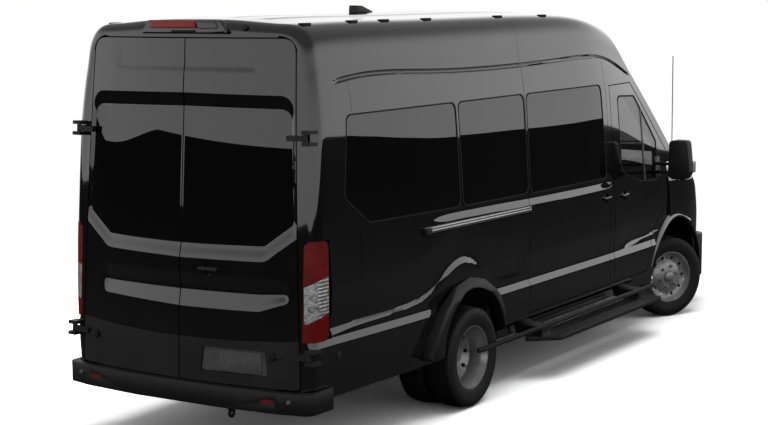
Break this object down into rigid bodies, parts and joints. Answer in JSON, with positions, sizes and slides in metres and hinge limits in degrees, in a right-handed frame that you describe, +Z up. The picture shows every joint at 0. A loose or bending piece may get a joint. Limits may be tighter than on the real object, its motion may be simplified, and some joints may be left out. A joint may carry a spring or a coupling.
{
  "type": "minibus",
  "caption": "Long high-roofed passenger minibus with twin rear wheels, hinged front and rear doors, a side sliding door, steered front wheels and a lifting bonnet.",
  "frame": {"origin": "on the ground under the middle of the overall length, on the centre line", "axes": "+X forward, +Y to the left, +Z up"},
  "size_m": [6.704, 2.7438, 2.752],
  "materials": {
    "paint": "gloss black body paint",
    "black_trim": "grained black moulded plastic",
    "dark_glass": "dark privacy glass",
    "red_lens": "red lamp lens",
    "clear_lens": "clear lamp lens",
    "tyre": "black tyre rubber",
    "silver_steel": "silver painted steel wheel",
    "rail_metal": "satin bare rail",
    "chassis_black": "black chassis paint",
    "cast_metal": "rough casting",
    "engine_metal": "cast alloy",
    "seat_cloth": "dark grey woven cloth",
    "cabin_plastic": "soft grained cabin plastic",
    "floor_lining": "ribbed rubber floor lining over steel",
    "exhaust_steel": "dull stainless steel"
  },
  "bodies": {
    "body": {"roof_panel": "paint", "side_panel_right": "paint", "side_panel_left": "paint", "sliding_door": "paint", "side_glass": "dark_glass", "windscreen": "dark_glass", "grille": "black_trim", "headlamps": "clear_lens", "wings_and_cowl": "paint", "nose_panel": "paint", "front_bumper": "black_trim", "high_stop_lamp": "red_lens", "tail_lamps": "red_lens", "rear_bumper": "black_trim", "reflectors": "red_lens", "hinge_brackets": "black_trim", "floor": "floor_lining", "chassis_rails": "chassis_black", "engine": "engine_metal", "front_suspension": "chassis_black", "rear_axle": "chassis_black", "leaf_springs": "chassis_black", "rear_flares": "black_trim", "running_boards": "black_trim", "door_track": "rail_metal", "aerial_mast": "black_trim", "roof_fin": "black_trim", "dashboard": "cabin_plastic", "steering_wheel": "cabin_plastic", "front_seats": "seat_cloth", "passenger_seats": "seat_cloth", "slide_door_handle": "paint", "exhaust": "exhaust_steel"},
    "rear_door_left": {"rear_door_left": "paint", "rear_glass_left": "dark_glass", "hinge_straps_left": "black_trim"},
    "rear_door_right": {"rear_door_right": "paint", "rear_glass_right": "dark_glass", "hinge_straps_right": "black_trim", "rear_door_handle": "paint"},
    "front_door_left": {"front_door_left": "paint", "front_glass_left": "dark_glass", "mirror_left": "black_trim", "handle_front_left": "paint"},
    "front_door_right": {"front_door_right": "paint", "front_glass_right": "dark_glass", "mirror_right": "black_trim", "handle_front_right": "paint"},
    "hood": {"hood": "paint"},
    "knuckle_left": {"knuckle_left": "cast_metal"},
    "knuckle_right": {"knuckle_right": "cast_metal"},
    "wheel_front_left": {"rim_front_left": "silver_steel", "tyre_front_left": "tyre"},
    "wheel_front_right": {"rim_front_right": "silver_steel", "tyre_front_right": "tyre"},
    "wheels_rear_left": {"rims_rear_left": "silver_steel", "tyres_rear_left": "tyre"},
    "wheels_rear_right": {"rims_rear_right": "silver_steel", "tyres_rear_right": "tyre"}
  },
  "joints": [
    {"name": "rear_door_left_hinge", "type": "hinge", "parent": "body", "child": "rear_door_left", "pos_m": [-3.236, 0.933, 0.679], "axis": [-0.0457, 0.0312, -0.9985], "range_deg": [0, 180]},
    {"name": "rear_door_right_hinge", "type": "hinge", "parent": "body", "child": "rear_door_right", "pos_m": [-3.236, -0.933, 0.679], "axis": [0.0457, 0.0312, 0.9985], "range_deg": [0, 180]},
    {"name": "front_door_left_hinge", "type": "hinge", "parent": "body", "child": "front_door_left", "pos_m": [2.155, 0.988, 1.2], "axis": [0, 0, -1], "range_deg": [0, 70]},
    {"name": "front_door_right_hinge", "type": "hinge", "parent": "body", "child": "front_door_right", "pos_m": [2.155, -0.988, 1.2], "axis": [0, 0, 1], "range_deg": [0, 70]},
    {"name": "hood_hinge", "type": "hinge", "parent": "body", "child": "hood", "pos_m": [2.607, 0, 1.34172], "axis": [0, -1, 0], "range_deg": [0, 50]},
    {"name": "steering_right", "type": "hinge", "parent": "body", "child": "knuckle_right", "pos_m": [2.329, -0.826, 0.3495], "axis": [0, 0, 1], "range_deg": [-9.5, 60.5]},
    {"name": "steering_left", "type": "hinge", "parent": "body", "child": "knuckle_left", "pos_m": [2.329, 0.826, 0.3495], "axis": [0, 0, 1], "range_deg": [-9.5, 60.5]},
    {"name": "wheel_front_right_spin", "type": "hinge", "parent": "knuckle_right", "child": "wheel_front_right", "pos_m": [2.31053, -0.86148, 0.3495], "axis": [0.4617, 0.887, 0], "continuous": true},
    {"name": "wheel_front_left_spin", "type": "hinge", "parent": "knuckle_left", "child": "wheel_front_left", "pos_m": [2.34559, 0.8624, 0.3495], "axis": [0.4147, 0.91, 0], "continuous": true},
    {"name": "wheels_rear_right_spin", "type": "hinge", "parent": "body", "child": "wheels_rear_right", "pos_m": [-1.421, -0.835, 0.3495], "axis": [0, 1, 0], "continuous": true},
    {"name": "wheels_rear_left_spin", "type": "hinge", "parent": "body", "child": "wheels_rear_left", "pos_m": [-1.421, 0.835, 0.3495], "axis": [0, 1, 0], "continuous": true}
  ],
  "couplings": [
    {"joint": "steering_left", "follows": "steering_right", "ratio": 1}
  ]
}
